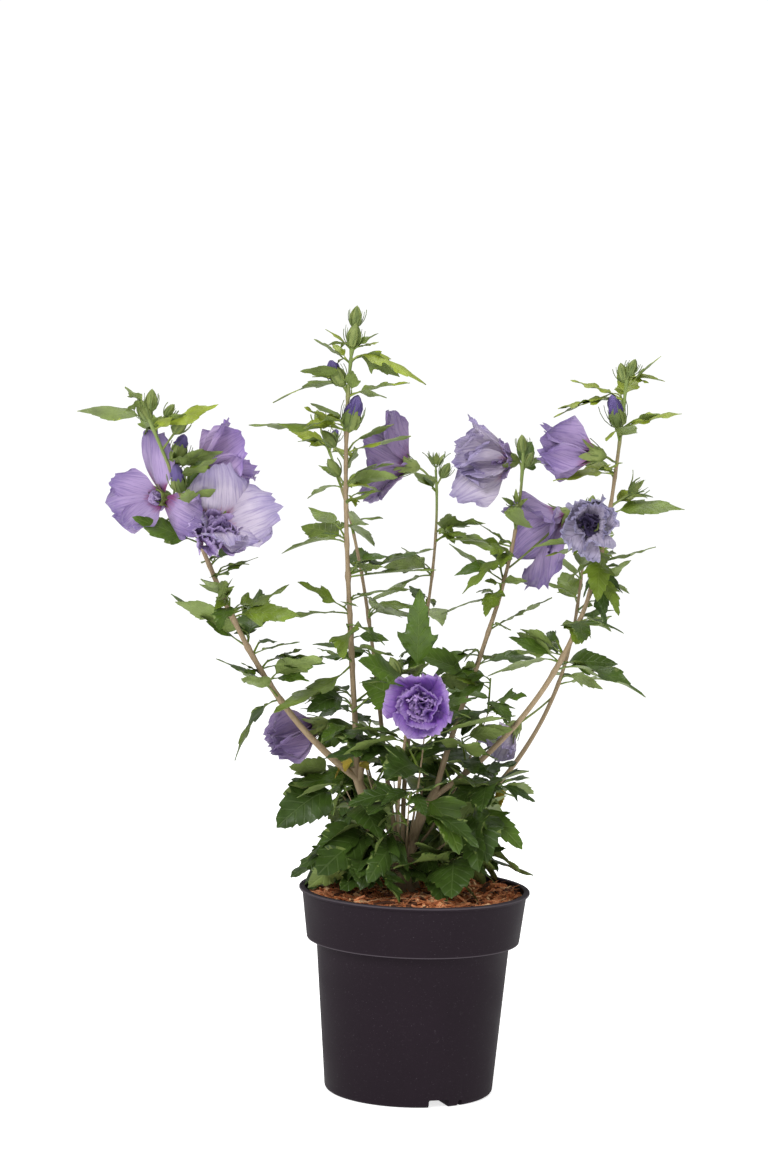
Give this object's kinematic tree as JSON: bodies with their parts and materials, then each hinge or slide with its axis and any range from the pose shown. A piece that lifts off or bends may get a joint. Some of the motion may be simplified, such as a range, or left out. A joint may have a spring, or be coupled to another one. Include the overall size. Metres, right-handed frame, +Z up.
{
  "type": "potted rose of sharon shrub",
  "caption": "Young rose of sharon with long leafy shoots and large violet double blossoms, growing in a round black nursery pot filled with bark mulch",
  "frame": {"origin": "centre of the pot's flat underside, which is the mount base", "axes": "+Z up along the stems, the front of the plant faces -Y, +X to the viewer's right"},
  "size_m": [0.4812, 0.3236, 0.6438],
  "materials": {
    "pot": "satin",
    "mulch": "matte",
    "bark": "matte",
    "leaf": "satin",
    "petal": "matte"
  },
  "bodies": {
    "root": {"pot": "pot", "soil": "mulch", "trunk": "bark", "arm_left": "bark", "arm_right": "bark", "bough_left": "bark", "bough_tall": "bark", "bough_back_left": "bark", "bough_centre": "bark", "bough_mid_right": "bark", "bough_right": "bark", "bough_back_right": "bark", "bough_front": "bark", "blossom_left_far": "petal", "blossom_left_big": "petal", "blossom_left_high": "petal", "blossom_back_centre": "petal", "blossom_mid_double": "petal", "blossom_right_bell": "petal", "blossom_mid_hanging": "petal", "blossom_wilted": "petal", "blossom_front_cup": "petal", "blossom_left_low": "petal", "blossom_right_low": "petal", "blossom_back_low": "petal", "foliage_left": "leaf", "foliage_tall": "leaf", "foliage_back_left": "leaf", "foliage_centre": "leaf", "foliage_mid_right": "leaf", "foliage_right": "leaf", "foliage_back_right": "leaf", "foliage_front": "leaf", "foliage_low_1": "leaf", "foliage_low_2": "leaf", "foliage_low_3": "leaf", "foliage_low_4": "leaf", "foliage_low_5": "leaf", "foliage_middle_1": "leaf", "foliage_middle_2": "leaf", "foliage_middle_3": "leaf", "foliage_middle_4": "leaf", "foliage_middle_5": "leaf", "foliage_middle_6": "leaf", "foliage_high_1": "leaf", "foliage_high_2": "leaf", "foliage_high_3": "leaf", "foliage_high_4": "leaf", "foliage_high_5": "leaf"}
  },
  "joints": []
}
